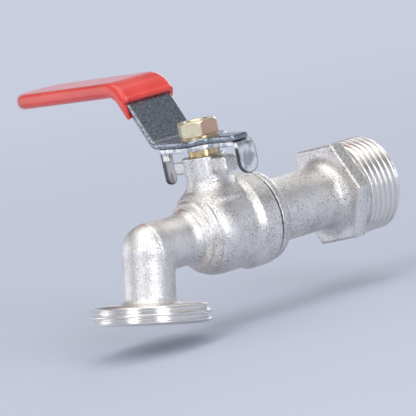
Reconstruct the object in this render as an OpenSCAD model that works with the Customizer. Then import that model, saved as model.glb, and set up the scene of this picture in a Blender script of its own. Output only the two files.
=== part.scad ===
// Lockable ball bibcock in nickel-plated brass, drawn closed.
// Origin: centre of the inlet end face. +X points out of the inlet, +Z up the stem.
// The lever lies across the body and points to +Y. Millimetres.

/* [Inlet adapter] */
// Distance from the stem axis to the inlet end face
inlet_reach = 55; // [52:0.5:62]
// Major diameter of the inlet pipe thread
inlet_thread_d = 26.44; // [25:0.01:28]
// Length of the inlet pipe thread
inlet_thread_len = 12.5; // [9:0.5:13]
// Hexagon width across flats
hex_af = 26.6; // [25:0.1:30]
// Hexagon length
hex_len = 4.4; // [3:0.1:8]
// Outer diameter of the tube between chamber and hexagon
tube_d = 17.7; // [16.8:0.1:18.4]
// Bore diameter at the inlet mouth
inlet_bore_d = 18; // [15:0.5:20]
// Depth of the wide inlet bore
inlet_bore_depth = 15; // [12:0.5:16]

/* [Ball chamber] */
// Outer diameter of the round chamber
chamber_d = 24.2; // [23.6:0.1:26]
// Outer diameter of the rim that the adapter screws into
rim_d = 26.2; // [25.8:0.1:28]
// Distance from the stem axis to the seam with the adapter
seam_x = 12; // [11.5:0.1:13]
// Ball diameter
ball_d = 19; // [18.6:0.1:19.4]
// Diameter of the waterway through ball and spout
port_d = 10; // [8:0.5:10.5]

/* [Spout] */
// Distance from the stem axis to the spout corner
spout_reach = 24.7; // [23:0.1:28]
// Outer diameter of the spout
spout_d = 14.1; // [13:0.1:15.5]
// Lean of the spout away from the chamber, in degrees
spout_lean = 12; // [0:1:20]
// Length from the spout corner to the outlet face
spout_drop = 19.9; // [17.5:0.1:28]
// Major diameter of the outlet thread
outlet_thread_d = 33.25; // [30:0.01:36]
// Thickness of the threaded outlet disc
outlet_disc_t = 5.4; // [4.5:0.1:7]

/* [Neck and stem] */
// Outer diameter of the neck
neck_d = 12; // [11.6:0.1:13]
// Height of the neck top above the bore axis
neck_top = 20.6; // [19:0.1:23]
// Distance from the stem axis to the end of a neck lug
lug_reach = 11.6; // [10:0.1:12]
// Stem diameter in the neck
stem_d = 8; // [7.6:0.1:8.2]
// Major diameter of the stem's top thread
stem_thread_d = 6; // [5.6:0.1:6.2]
// Height of stem shoulder that shows above the neck
shoulder_h = 1.9; // [1.8:0.1:3.5]

/* [Lever and lock plate] */
// Sheet thickness of the lever
lever_t = 1.7; // [1.5:0.1:2.4]
// Width of the lever's sheet
lever_w = 15.2; // [14:0.1:18]
// Distance from the stem axis to the lever's bend
lever_bend_y = 11.9; // [11.5:0.1:14]
// Angle of the lever's rise, in degrees
lever_rise_angle = 56; // [50:1:62]
// Height of the grip's centre above the lever's foot
lever_rise_h = 16.7; // [16:0.1:20]
// Distance from the stem axis to the grip's end
lever_reach = 75.4; // [65:0.5:90]
// Thickness of the sheet in the lock plate
plate_t = 1.5; // [1:0.1:1.6]
// Width of the lock plate's front arm
front_arm_w = 6.2; // [4:0.1:8]
// Distance from the stem axis to the outside of the front arm
front_arm_y = 18.6; // [16.6:0.1:20]
// Distance from the stem axis to the outside of the rear arm
rear_arm_y = 15.5; // [15:0.1:17]
// Wall thickness of the dipped grip
grip_wall = 1.3; // [0.8:0.1:1.5]

/* [Hidden] */
eps = 0.01;

// Running and seating clearances, on the radius
run_gap = 0.05;
seat_gap = 0.06;
face_gap = 0.05;
skin_gap = 0.02;

// Chamber inside
cavity_gap = 0.5;
cavity_r = ball_d / 2 + cavity_gap;
seat_t = 3.7;
seat_lip = 0.6;
seat_r = ball_d / 2 - seat_lip;
seat_sunk = 0.9;
seat_back_x = ball_d / 2 - seat_sunk;
seat_bore_ease = 0.4;
seat_bore_r = port_d / 2 + seat_bore_ease;
male_wall = 0.9;
male_r = cavity_r + male_wall;
male_start_x = seat_back_x - seat_t + seat_lip;
male_end_gap = 0.5;
seal_ring_w = 0.9;
seal_ring_t = 0.8;

// Adapter outside, measured from the stem axis
shoulder_inset = 0.4;
shoulder_r = rim_d / 2 - shoulder_inset;
shoulder_foot = 0.3;
shoulder_round = shoulder_r - tube_d / 2 - shoulder_foot;
shoulder_flat = 1.2;
thread_chamfer = 1.2;
thread_depth = 1.2;
thread_root_d = inlet_thread_d - 2 * thread_depth;
thread_start_x = inlet_reach - inlet_thread_len;
hex_start_x = thread_start_x - hex_len;
hex_corner_r = hex_af / 2 / cos(30);
hex_turn = 24.2;
hex_bevel = 0.7;
hex_fillet = 3.2;
tube_wall = 2.35;
adapter_bore_d = tube_d - 2 * tube_wall;
bore_cone_len = 3;

// Body outside
rim_len = 5.6;
rim_start_x = seam_x - rim_len;
rim_chamfer = 1;
ring_step = 0.3;
dome_set = 2.4;
dome_wall = 0.5;
// The dome's centre moves out where a larger seat pocket would come nearer to its surface than dome_wall
dome_x = max(dome_set, seat_back_x
    - sqrt(pow(chamber_d / 2 - 2 * ring_step - dome_wall, 2) - pow(seat_r + run_gap, 2)));
ring_run = [5.6, 7.8];
ring_x = [dome_x + ring_run[0], dome_x + ring_run[1]];
dome_fillet = 2;
fillet_r = spout_d / 2 + dome_fillet;
fillet_x = dome_x + sqrt(pow(chamber_d / 2 - 2 * ring_step + dome_fillet, 2) - pow(fillet_r, 2));
outlet_chamfer = 0.8;
disc_fillet = 2;
elbow_swell = 0.2;
elbow_pole_turn = 60;
neck_foot_flare = 3.4;
neck_foot_r = neck_d / 2 + neck_foot_flare;
neck_foot_low = 8.1;
neck_straight = 6.6;
neck_foot_high = neck_top - neck_straight;
lug_w = 5;
lug_drop = 0.5;
lug_top = neck_top - lug_drop;
lug_h = 4.5;
lug_round = 1;

// Quarter-turn stop, a tab that runs in a notch on the far side of the neck
turn = 90;
stop_tab_w = 2;
stop_tab_inset = 0.75;
stop_tab_mid_r = neck_d / 2 - stop_tab_inset;
stop_tab_t = 0.9;
stop_tab_play = 0.15;
stop_tab_lift = 0.3;
stop_notch_depth = 1.6;
stop_first_angle = 9;
stop_spare_angle = 1;
stop_half_angle = asin(stop_tab_w / 2 / (stop_tab_mid_r - stop_tab_t / 2)) + stop_spare_angle;

// Stem, from the ball's slot upwards
slot_w = 3.8;
slot_depth = 2.6;
slot_floor = ball_d / 2 - slot_depth;
tang_l = 8;
tang_end_gap = 0.2;
flange_lip = 1;
flange_r = stem_d / 2 + flange_lip;
ball_headroom = 0.6;
flange_low = ball_d / 2 + ball_headroom;
flange_h = 1.7;
washer_t = 0.8;
flange_pocket_top = flange_low + flange_h + washer_t + face_gap;
shoulder_top = neck_top + shoulder_h;
seal_wire = 1.3;
seal_groove_depth = 1;
seal_groove_r = stem_d / 2 - seal_groove_depth;
seal_groove_ease = 0.1;
lower_seal_lift = 1.7;
lower_seal_z = flange_pocket_top + lower_seal_lift;
seal_pitch = 2.8;
upper_seal_z = lower_seal_z + seal_pitch;
stem_flat = 4.6;

// Lever head, bottom to top
plate_low = shoulder_top;
plate_top = plate_low + plate_t;
lever_low = plate_top;
lever_top = lever_low + lever_t;
nut_washer_t = 0.4;
nut_washer_d = 10.4;
nut_low = lever_top + nut_washer_t;
nut_h = 4.1;
nut_af = 10;
nut_turn = 2;
nut_chamfer = 0.7;
stem_tip_sunk = 0.4;
stem_tip = nut_low + nut_h - stem_tip_sunk;
flats_top = lever_top + nut_washer_t / 2;

// Lever and lock plate outlines
tongue_w = 6;
tongue_round = 1;
tongue_back = 0.6;
lever_tail_r = lever_w / 2;
tongue_y = front_arm_y - tongue_back;
lever_bend_r = 2.6;
grip_bend_r = 7;
grip_droop = 1.6;
sheet_mid_z = lever_low + lever_t / 2;
rise_mid_y = lever_bend_y + lever_rise_h / tan(lever_rise_angle);
grip_top_z = sheet_mid_z + lever_rise_h;
grip_len = (lever_reach - rise_mid_y) / cos(grip_droop);
foot_bend_y = lever_bend_y - lever_bend_r * tan(lever_rise_angle / 2);
crest_cut = grip_bend_r * tan((lever_rise_angle + grip_droop) / 2);
crest_y = rise_mid_y - crest_cut * cos(lever_rise_angle) + grip_bend_r * sin(lever_rise_angle);
crest_z = grip_top_z - crest_cut * sin(lever_rise_angle) - grip_bend_r * cos(lever_rise_angle);
bend_steps = 12;
grip_start = 14.6;
grip_skirt = 2.8;
plate_wing_y = 11.2;
plate_corner_r = 3;
plate_bend_r = 2.2;
front_arm_low = 15.6;
rear_arm_low = 13.1;
rear_arm_w = 3.2;
corner_tab_h = 2;
corner_tab_w = 2.6;
corner_tab_y = plate_wing_y - 2 * corner_tab_w;

// Everything is drawn round the stem axis and set back to the inlet face
module from_stem() {
    translate([-inlet_reach, 0, 0]) children();
}

// Cylinder or cone along X
module x_cylinder(x0, x1, d0, d1) {
    translate([x0, 0, 0]) rotate([0, 90, 0]) cylinder(h = x1 - x0, d1 = d0, d2 = d1, $fn = 96);
}

// Ring of round section, about Z
module round_ring(ring_r, wire_r) {
    rotate_extrude($fn = 96) translate([ring_r, 0]) circle(r = wire_r, $fn = 48);
}

// Rectangle with rounded corners, from true arcs
module rounded_rect(w, h, r) {
    square([w - 2 * r, h], center = true);
    square([w, h - 2 * r], center = true);
    for (sx = [-1, 1], sy = [-1, 1])
        translate([sx * (w / 2 - r), sy * (h / 2 - r)]) circle(r = r, $fn = 48);
}

// Frame of the spout: -Z runs from the spout corner to the outlet
module at_spout() {
    translate([-spout_reach, 0, 0]) rotate([0, spout_lean, 0]) children();
}

// Points of an arc round (cr, cx) in the half section, angles from the radial direction
function arc(cr, cx, r, a0, a1, steps) =
    [for (i = [0:steps]) let (a = a0 + (a1 - a0) * i / steps) [cr + r * cos(a), cx + r * sin(a)]];

// Radius of the dome's turned band i, and the angle at which that band reaches a place x
function dome_r(i) = chamber_d / 2 - i * ring_step;
function dome_angle(i, x) = -asin((x - dome_x) / dome_r(i));

// Half section of the chamber, as radius and place along the bore: a fillet up from the spout,
// a dome with two faint turned rings, and a straight part up to the rim
module chamber_section() {
    touch = -asin((fillet_x - dome_x) / (dome_r(2) + dome_fillet));
    polygon(concat(
        [[0, -fillet_x]],
        arc(fillet_r, -fillet_x, dome_fillet, 180, 180 + touch, 5),
        arc(0, -dome_x, dome_r(2), touch, dome_angle(2, ring_x[1]), 3),
        arc(0, -dome_x, dome_r(1), dome_angle(1, ring_x[1]), dome_angle(1, ring_x[0]), 3),
        arc(0, -dome_x, dome_r(0), dome_angle(0, ring_x[0]), 0, 6),
        [[chamber_d / 2, rim_start_x - rim_chamfer], [rim_d / 2, rim_start_x],
            [rim_d / 2, seam_x], [0, seam_x]]));
}

module chamber_outside() {
    rotate([0, 90, 0]) rotate_extrude($fn = 96) chamber_section();
}

// Ball at the spout corner, its poles turned into the two tubes that it joins
module elbow_ball(d) {
    translate([-spout_reach, 0, 0]) rotate([0, elbow_pole_turn, 0]) sphere(d = d, $fn = 96);
}

module spout_outside() {
    x_cylinder(-spout_reach, 0, spout_d, spout_d);
    elbow_ball(spout_d + elbow_swell);
    at_spout() {
        translate([0, 0, -spout_drop + outlet_disc_t / 2])
            cylinder(h = spout_drop - outlet_disc_t / 2, d = spout_d, $fn = 96);
        outlet_disc();
        difference() {
            translate([0, 0, outlet_disc_t - spout_drop - eps])
                cylinder(h = disc_fillet, r = spout_d / 2 + disc_fillet, $fn = 96);
            translate([0, 0, outlet_disc_t - spout_drop + disc_fillet])
                round_ring(spout_d / 2 + disc_fillet, disc_fillet);
        }
    }
}

// Threaded outlet disc with bevelled rims, drawn at its major diameter
module outlet_disc() {
    r = outlet_thread_d / 2;
    translate([0, 0, -spout_drop]) {
        cylinder(h = outlet_chamfer, r1 = r - outlet_chamfer, r2 = r, $fn = 96);
        translate([0, 0, outlet_chamfer])
            cylinder(h = outlet_disc_t - 2 * outlet_chamfer, r = r, $fn = 96);
        translate([0, 0, outlet_disc_t - outlet_chamfer])
            cylinder(h = outlet_chamfer, r1 = r, r2 = r - outlet_chamfer, $fn = 96);
    }
}

module neck_outside() {
    translate([0, 0, neck_foot_low])
        cylinder(h = neck_foot_high - neck_foot_low, r1 = neck_foot_r, r2 = neck_d / 2, $fn = 96);
    cylinder(h = neck_top, d = neck_d, $fn = 96);
    translate([-lug_w / 2, 0, lug_top - lug_h / 2]) rotate([90, 0, 90])
        linear_extrude(lug_w) rounded_rect(2 * lug_reach, lug_h, lug_round);
}

// Ledge cut in the neck's rim, where the lock plate's stop tab travels
module stop_notch() {
    outer = neck_d / 2 + 1;
    inner = stop_tab_mid_r - stop_tab_t / 2 - stop_tab_play;
    a0 = stop_first_angle - stop_half_angle;
    a1 = stop_first_angle + turn + stop_half_angle;
    translate([0, 0, neck_top - stop_notch_depth]) rotate([0, 0, a0])
        rotate_extrude(angle = a1 - a0, $fn = 96)
            translate([inner, 0]) square([outer - inner, stop_notch_depth + 1]);
}

module waterway() {
    x_cylinder(-spout_reach, 0, port_d, port_d);
    elbow_ball(port_d + elbow_swell);
    at_spout() translate([0, 0, -spout_drop - 1]) cylinder(h = spout_drop + 1, d = port_d, $fn = 96);
}

module body() {
    color([0.80, 0.80, 0.79]) from_stem() difference() {
        union() {
            chamber_outside();
            spout_outside();
            neck_outside();
        }
        waterway();
        // Outlet seat pocket, ball cavity and the adapter's screwed socket
        x_cylinder(-seat_back_x, 0, 2 * (seat_r + run_gap), 2 * (seat_r + run_gap));
        x_cylinder(-(seat_back_x - seat_t), seam_x, 2 * cavity_r, 2 * cavity_r);
        x_cylinder(male_start_x - male_end_gap, seam_x + 1, 2 * (male_r + run_gap), 2 * (male_r + run_gap));
        x_cylinder(seam_x - seal_ring_t, seam_x + 1, 2 * (male_r + seal_ring_w), 2 * (male_r + seal_ring_w));
        // Stem bore and the pocket for the stem's flange
        cylinder(h = neck_top + 1, r = stem_d / 2 + run_gap, $fn = 96);
        cylinder(h = flange_pocket_top, r = flange_r + run_gap, $fn = 96);
        stop_notch();
    }
}

// Half section of the adapter's shoulder, from the seam on
module shoulder_section() {
    polygon(concat([[0, 0], [shoulder_r, 0]],
        arc(shoulder_r - shoulder_round, shoulder_flat, shoulder_round, 0, 90, 8),
        [[0, shoulder_flat + shoulder_round]]));
}

// Hexagon with both rims bevelled, drawn along Z from 0
module hexagon() {
    rotate([0, 0, hex_turn]) {
        cylinder(h = hex_bevel + eps, r1 = hex_corner_r - hex_bevel, r2 = hex_corner_r, $fn = 6);
        translate([0, 0, hex_bevel])
            cylinder(h = hex_len - 2 * hex_bevel, r = hex_corner_r, $fn = 6);
        translate([0, 0, hex_len - hex_bevel - eps])
            cylinder(h = hex_bevel + eps, r1 = hex_corner_r, r2 = hex_corner_r - hex_bevel, $fn = 6);
    }
}

// Half section of the fillet from the tube up to the hexagon's face at 0
module hex_fillet_section() {
    polygon(concat([[0, -hex_fillet], [tube_d / 2, -hex_fillet]],
        arc(tube_d / 2 + hex_fillet, -hex_fillet, hex_fillet, 180, 90, 8),
        [[tube_d / 2 + hex_fillet, eps], [0, eps]]));
}

module end_adapter() {
    color([0.82, 0.82, 0.81]) from_stem() difference() {
        union() {
            x_cylinder(male_start_x, seam_x + eps, 2 * male_r, 2 * male_r);
            // Shoulder against the chamber's rim, rounded down to the tube
            translate([seam_x, 0, 0]) rotate([0, 90, 0]) rotate_extrude($fn = 96) shoulder_section();
            x_cylinder(seam_x, hex_start_x + eps, tube_d, tube_d);
            translate([hex_start_x, 0, 0]) rotate([0, 90, 0]) {
                hexagon();
                rotate_extrude($fn = 96) hex_fillet_section();
            }
            // Thread at its major diameter
            x_cylinder(thread_start_x - eps, thread_start_x + thread_chamfer, thread_root_d, inlet_thread_d);
            x_cylinder(thread_start_x + thread_chamfer, inlet_reach - thread_chamfer,
                inlet_thread_d, inlet_thread_d);
            x_cylinder(inlet_reach - thread_chamfer, inlet_reach, inlet_thread_d, thread_root_d);
        }
        x_cylinder(male_start_x - 1, seat_back_x, 2 * (seat_r + run_gap), 2 * (seat_r + run_gap));
        x_cylinder(seat_back_x - 1, inlet_reach, adapter_bore_d, adapter_bore_d);
        x_cylinder(inlet_reach - inlet_bore_depth - bore_cone_len, inlet_reach - inlet_bore_depth,
            adapter_bore_d, inlet_bore_d);
        x_cylinder(inlet_reach - inlet_bore_depth, inlet_reach + 1, inlet_bore_d, inlet_bore_d);
    }
}

module adapter_seal() {
    color([0.12, 0.12, 0.12]) from_stem() difference() {
        x_cylinder(seam_x - seal_ring_t, seam_x - face_gap, 2 * (male_r + seal_ring_w - run_gap),
            2 * (male_r + seal_ring_w - run_gap));
        x_cylinder(seam_x - seal_ring_t - 1, seam_x + 1, 2 * (male_r + run_gap), 2 * (male_r + run_gap));
    }
}

// Ball with its waterway across the body, and the slot that the stem's tang turns
module ball() {
    color([0.86, 0.86, 0.86]) from_stem() difference() {
        sphere(d = ball_d, $fn = 96);
        rotate([90, 0, 0]) cylinder(h = ball_d + 2, d = port_d, center = true, $fn = 96);
        translate([-ball_d / 2, -slot_w / 2, slot_floor]) cube([ball_d, slot_w, slot_depth + 1]);
    }
}

// Seat ring with a round contact face, its back at +X
module seat_ring() {
    difference() {
        x_cylinder(seat_back_x - seat_t, seat_back_x, 2 * seat_r, 2 * seat_r);
        x_cylinder(0, seat_back_x + 1, 2 * seat_bore_r, 2 * seat_bore_r);
        sphere(r = ball_d / 2 + seat_gap, $fn = 96);
    }
}

module inlet_seat() {
    color([0.95, 0.95, 0.93]) from_stem() seat_ring();
}

module outlet_seat() {
    color([0.95, 0.95, 0.93]) from_stem() rotate([0, 0, 180]) seat_ring();
}

// Stem: tang, flange, two seal grooves, the shoulder that shows, and the threaded end with two flats
module stem() {
    color([0.78, 0.66, 0.38]) from_stem() difference() {
        union() {
            translate([-tang_l / 2, -slot_w / 2 + face_gap, slot_floor + tang_end_gap])
                cube([tang_l, slot_w - 2 * face_gap, flange_low - slot_floor]);
            translate([0, 0, flange_low]) cylinder(h = flange_h, r = flange_r, $fn = 96);
            translate([0, 0, flange_low]) cylinder(h = shoulder_top - flange_low, d = stem_d, $fn = 96);
            intersection() {
                translate([0, 0, shoulder_top - eps])
                    cylinder(h = flats_top - shoulder_top, d = stem_thread_d, $fn = 96);
                translate([-stem_flat / 2, -stem_d / 2, shoulder_top - eps])
                    cube([stem_flat, stem_d, flats_top - shoulder_top]);
            }
            translate([0, 0, flats_top - 2 * eps])
                cylinder(h = stem_tip - flats_top, d = stem_thread_d, $fn = 96);
        }
        for (z = [lower_seal_z, upper_seal_z])
            translate([0, 0, z - seal_wire / 2 - seal_groove_ease]) difference() {
                cylinder(h = seal_wire + 2 * seal_groove_ease, r = stem_d / 2 + 1, $fn = 96);
                translate([0, 0, -1]) cylinder(h = seal_wire + 3, r = seal_groove_r, $fn = 96);
            }
    }
}

module thrust_washer() {
    color([0.95, 0.95, 0.93]) from_stem() translate([0, 0, flange_low + flange_h]) difference() {
        cylinder(h = washer_t, r = flange_r, $fn = 96);
        translate([0, 0, -1]) cylinder(h = washer_t + 2, r = stem_d / 2 + run_gap, $fn = 96);
    }
}

// Seal ring squeezed flat against the neck's bore
module stem_seal(z) {
    from_stem() translate([0, 0, z]) rotate_extrude($fn = 96)
        intersection() {
            translate([seal_groove_r + seal_wire / 2, 0]) circle(d = seal_wire, $fn = 48);
            translate([seal_groove_r, -seal_wire]) square([stem_d / 2 - seal_groove_r, 2 * seal_wire]);
        }
}

module lower_stem_seal() {
    color([0.12, 0.12, 0.12]) stem_seal(lower_seal_z);
}

module upper_stem_seal() {
    color([0.12, 0.12, 0.12]) stem_seal(upper_seal_z);
}

// Hole with two flats that keys a plate to the stem
module keyed_hole() {
    intersection() {
        circle(d = stem_thread_d + 2 * face_gap, $fn = 96);
        square([stem_flat + 2 * face_gap, stem_d], center = true);
    }
}

// Lock plate seen from above, between its two bends
module plate_outline() {
    difference() {
        union() {
            circle(r = lever_tail_r, $fn = 96);
            translate([-lever_w / 2, 0]) square([lever_w, plate_wing_y - plate_corner_r]);
            translate([-lever_w / 2 + plate_corner_r, 0]) square([lever_w - 2 * plate_corner_r, plate_wing_y]);
            for (s = [-1, 1])
                translate([s * (lever_w / 2 - plate_corner_r), plate_wing_y - plate_corner_r])
                    circle(r = plate_corner_r, $fn = 48);
            translate([-front_arm_w / 2, plate_bend_r - front_arm_y])
                square([front_arm_w, front_arm_y - plate_bend_r]);
            translate([-front_arm_w / 2, 0]) square([rear_arm_w, rear_arm_y - plate_bend_r]);
        }
        keyed_hole();
    }
}

// Quarter of a bent sheet, drawn in the plane of the bend and pulled out by w
module plate_bend(w) {
    linear_extrude(w) intersection() {
        difference() {
            circle(r = plate_bend_r, $fn = 48);
            circle(r = plate_bend_r - plate_t, $fn = 48);
        }
        square(2 * plate_bend_r);
    }
}

// Arm bent down from the lock plate towards +Y, with a rounded end
module plate_arm(y, w, low) {
    straight_top = plate_top - plate_bend_r;
    translate([-w / 2, y - plate_bend_r, straight_top]) rotate([90, 0, 90])
        plate_bend(w);
    translate([0, y, 0]) rotate([90, 0, 0]) linear_extrude(plate_t) {
        translate([-w / 2, low + w / 2]) square([w, straight_top - low - w / 2]);
        translate([0, low + w / 2]) circle(d = w, $fn = 48);
    }
}

module lock_plate() {
    color([0.83, 0.83, 0.85]) from_stem() {
        translate([0, 0, plate_low]) linear_extrude(plate_t) plate_outline();
        rotate([0, 0, 180]) plate_arm(front_arm_y, front_arm_w, front_arm_low);
        translate([rear_arm_w / 2 - front_arm_w / 2, 0, 0]) plate_arm(rear_arm_y, rear_arm_w, rear_arm_low);
        // Small corner turned down at the wing
        translate([-lever_w / 2, corner_tab_y, plate_low - corner_tab_h])
            cube([plate_t, corner_tab_w, corner_tab_h + plate_t / 2]);
        // Stop tab pressed down behind the stem
        rotate([0, 0, stop_first_angle])
            translate([stop_tab_mid_r - stop_tab_t / 2, -stop_tab_w / 2,
                neck_top - stop_notch_depth + stop_tab_lift])
                cube([stop_tab_t, stop_tab_w, plate_low - neck_top + stop_notch_depth]);
    }
}

// Points along the lever's side view, d above the middle of its sheet. The line starts the given
// distance up the rise, or with the foot's bend where start is 0, and stops end_cut short.
function side_line(d, start, end_cut) = concat(
    start == 0
        ? concat([[foot_bend_y - 1, sheet_mid_z + d]],
            [for (i = [0:bend_steps]) let (a = lever_rise_angle * i / bend_steps)
                [foot_bend_y + (lever_bend_r - d) * sin(a),
                    sheet_mid_z + lever_bend_r - (lever_bend_r - d) * cos(a)]])
        : [[lever_bend_y + start * cos(lever_rise_angle) - d * sin(lever_rise_angle),
            sheet_mid_z + start * sin(lever_rise_angle) + d * cos(lever_rise_angle)]],
    [for (i = [0:bend_steps]) let (a = lever_rise_angle - (lever_rise_angle + grip_droop) * i / bend_steps)
        [crest_y - (grip_bend_r + d) * sin(a), crest_z + (grip_bend_r + d) * cos(a)]],
    [[lever_reach - end_cut, grip_top_z + (d - (grip_len - end_cut) * sin(grip_droop)) / cos(grip_droop)]]);

// Sheet of thickness t in side view, its upper and lower faces starting at their own places
module sheet_side(t, upper_start, lower_start, end_cut) {
    lower = side_line(-t / 2, lower_start, end_cut);
    polygon(concat(side_line(t / 2, upper_start, end_cut),
        [for (i = [len(lower) - 1:-1:0]) lower[i]]));
}

// Pulls a side view out across the lever
module across(w) {
    translate([-w / 2, 0, 0]) rotate([90, 0, 90]) linear_extrude(w) children();
}

// Lever's foot seen from above: wide by the bend, round at the stem, with a tongue to the front
module foot_outline() {
    difference() {
        union() {
            circle(r = lever_tail_r, $fn = 96);
            translate([-lever_w / 2, 0]) square([lever_w, foot_bend_y]);
            translate([-tongue_w / 2, tongue_round - tongue_y]) square([tongue_w, tongue_y - tongue_round]);
            translate([tongue_round - tongue_w / 2, -tongue_y]) square([tongue_w - 2 * tongue_round, tongue_y]);
            for (s = [-1, 1])
                translate([s * (tongue_w / 2 - tongue_round), tongue_round - tongue_y])
                    circle(r = tongue_round, $fn = 48);
        }
        keyed_hole();
    }
}

// Lever seen from above with its round end, end_cut short of the grip's end
module grip_plan(w, end_cut) {
    translate([-w / 2, 0]) square([w, lever_reach - end_cut - w / 2]);
    translate([0, lever_reach - end_cut - w / 2]) circle(d = w, $fn = 96);
}

module lever() {
    color([0.42, 0.45, 0.50]) from_stem() {
        translate([0, 0, lever_low]) linear_extrude(lever_t) foot_outline();
        intersection() {
            across(lever_w) sheet_side(lever_t, 0, 0, grip_wall);
            linear_extrude(100) grip_plan(lever_w, grip_wall);
        }
    }
}

// Dipped grip, a skin all round the lever's sheet. Its lower skirt hangs further down the rise.
module lever_grip() {
    color([0.86, 0.22, 0.16]) from_stem() difference() {
        intersection() {
            across(lever_w + 2 * grip_wall)
                sheet_side(lever_t + 2 * grip_wall, grip_start, grip_start - grip_skirt, 0);
            linear_extrude(100) grip_plan(lever_w + 2 * grip_wall, 0);
        }
        intersection() {
            across(lever_w + 2 * skin_gap)
                sheet_side(lever_t + 2 * skin_gap, 0, 0, grip_wall - skin_gap);
            linear_extrude(100) grip_plan(lever_w + 2 * skin_gap, grip_wall - skin_gap);
        }
    }
}

module nut_washer() {
    color([0.80, 0.70, 0.45]) from_stem() translate([0, 0, lever_top]) difference() {
        cylinder(h = nut_washer_t, d = nut_washer_d, $fn = 96);
        translate([0, 0, -1]) cylinder(h = 2 + nut_washer_t, r = stem_thread_d / 2 + face_gap, $fn = 96);
    }
}

module handle_nut() {
    corner_r = nut_af / 2 / cos(30);
    nut_face_r = nut_af / 2 - 0.2;
    color([0.82, 0.76, 0.62]) from_stem() translate([0, 0, nut_low]) difference() {
        intersection() {
            rotate([0, 0, nut_turn]) cylinder(h = nut_h, r = corner_r, $fn = 6);
            union() {
                cylinder(h = nut_h - nut_chamfer, r = corner_r + eps, $fn = 96);
                translate([0, 0, nut_h - nut_chamfer])
                    cylinder(h = nut_chamfer, r1 = corner_r + eps, r2 = nut_face_r, $fn = 96);
            }
        }
        translate([0, 0, -1]) cylinder(h = nut_h + 2, d = stem_thread_d + 2 * skin_gap, $fn = 96);
    }
}

body();
end_adapter();
adapter_seal();
ball();
outlet_seat();
inlet_seat();
stem();
thrust_washer();
lower_stem_seal();
upper_stem_seal();
lock_plate();
lever();
lever_grip();
nut_washer();
handle_nut();
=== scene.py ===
"""Looks for the lockable ball bibcock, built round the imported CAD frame."""
import math

import bpy
import numpy as np
from mathutils import Matrix, Vector


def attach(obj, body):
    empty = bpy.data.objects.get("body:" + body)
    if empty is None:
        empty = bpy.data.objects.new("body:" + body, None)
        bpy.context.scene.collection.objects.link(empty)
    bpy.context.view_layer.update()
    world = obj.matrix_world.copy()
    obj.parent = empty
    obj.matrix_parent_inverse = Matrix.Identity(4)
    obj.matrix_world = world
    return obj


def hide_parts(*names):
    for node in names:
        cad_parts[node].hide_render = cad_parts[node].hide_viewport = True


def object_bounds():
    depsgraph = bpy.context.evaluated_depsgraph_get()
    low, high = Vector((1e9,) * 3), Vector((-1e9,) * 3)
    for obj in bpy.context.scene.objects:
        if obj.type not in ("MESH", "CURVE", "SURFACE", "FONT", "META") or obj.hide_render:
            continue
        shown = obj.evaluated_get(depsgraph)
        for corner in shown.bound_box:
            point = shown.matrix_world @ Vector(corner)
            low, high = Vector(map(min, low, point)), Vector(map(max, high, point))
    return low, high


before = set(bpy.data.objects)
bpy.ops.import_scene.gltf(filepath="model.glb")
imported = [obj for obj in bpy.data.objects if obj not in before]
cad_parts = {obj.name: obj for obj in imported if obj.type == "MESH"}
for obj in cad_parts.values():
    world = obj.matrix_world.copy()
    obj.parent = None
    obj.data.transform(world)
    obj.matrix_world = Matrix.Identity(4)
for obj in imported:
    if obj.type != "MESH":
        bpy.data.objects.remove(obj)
cad_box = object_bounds()

# The shapes are written in millimetres round the stem axis, like the CAD source
INLET_REACH = 55.0


# Camera, at the photograph's angle

CAM_RIGHT = Vector((0.772956, -0.599281, -0.208331))
CAM_UP = Vector((0.237189, -0.031608, 0.970949))
CAM_BACK = Vector((-0.588456, -0.799915, 0.117711))
CAM_FROM_STEM = Vector((-707.205, -958.243, 147.209))
SENSOR_MM, LENS_MM = 36, 382.15
NEAR_CLIP, FAR_CLIP = 0.05, 20

camera = bpy.data.objects.new("camera", bpy.data.cameras.new("camera"))
bpy.context.scene.collection.objects.link(camera)
turn = Matrix((CAM_RIGHT, CAM_UP, CAM_BACK)).transposed().to_4x4()
place = (CAM_FROM_STEM - Vector((INLET_REACH, 0, 0))) / 1000
camera.matrix_world = Matrix.Translation(place) @ turn
camera.data.sensor_width = SENSOR_MM
camera.data.lens = LENS_MM
camera.data.clip_start = NEAR_CLIP
camera.data.clip_end = FAR_CLIP
bpy.context.scene.camera = camera


# Distance fields: a and b are distances to two faces that meet at an edge
# corner, join, cut, rod and block take the radius of their rounding last

def corner(a, b, r=0.0):
    """Edge where both faces end, rounded by r."""
    a, b = a + r, b + r
    return np.minimum(np.maximum(a, b), 0) + np.hypot(np.maximum(a, 0), np.maximum(b, 0)) - r


def join(a, b, r):
    """Union with a fillet of radius r."""
    return np.maximum(r, np.minimum(a, b)) - np.hypot(np.maximum(r - a, 0), np.maximum(r - b, 0))


def union(whole, *others):
    """Whatever lies in at least one of the fields."""
    for other in others:
        whole = np.minimum(whole, other)
    return whole


def cut(a, b, r):
    """What is left of a outside b, its edge rounded by r."""
    return corner(a, -b, r)


def rod(radial, along, r, start, end, edge=0.0):
    """Cylinder of radius r between two places along its axis."""
    middle, half = (start + end) / 2, (end - start) / 2
    return corner(radial - r, np.abs(along - middle) - half, edge)


def cone(radial, along, r, slope):
    """Cone of radius r at 0 that narrows by slope along its axis."""
    return (radial - r + along * slope) / math.hypot(1, slope)


def block(x, y, half_x, half_y, r=0.0):
    """Rectangle with corners of radius r, centred at 0."""
    return corner(np.abs(x) - half_x, np.abs(y) - half_y, r)


def strip(x, along, half, end):
    """Flat strip of the given half width, from 0 to its round end."""
    straight = (end - half) / 2
    round_end = np.hypot(x, along - end + half) - half
    return np.minimum(block(x, along - straight, half, straight), round_end)


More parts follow.
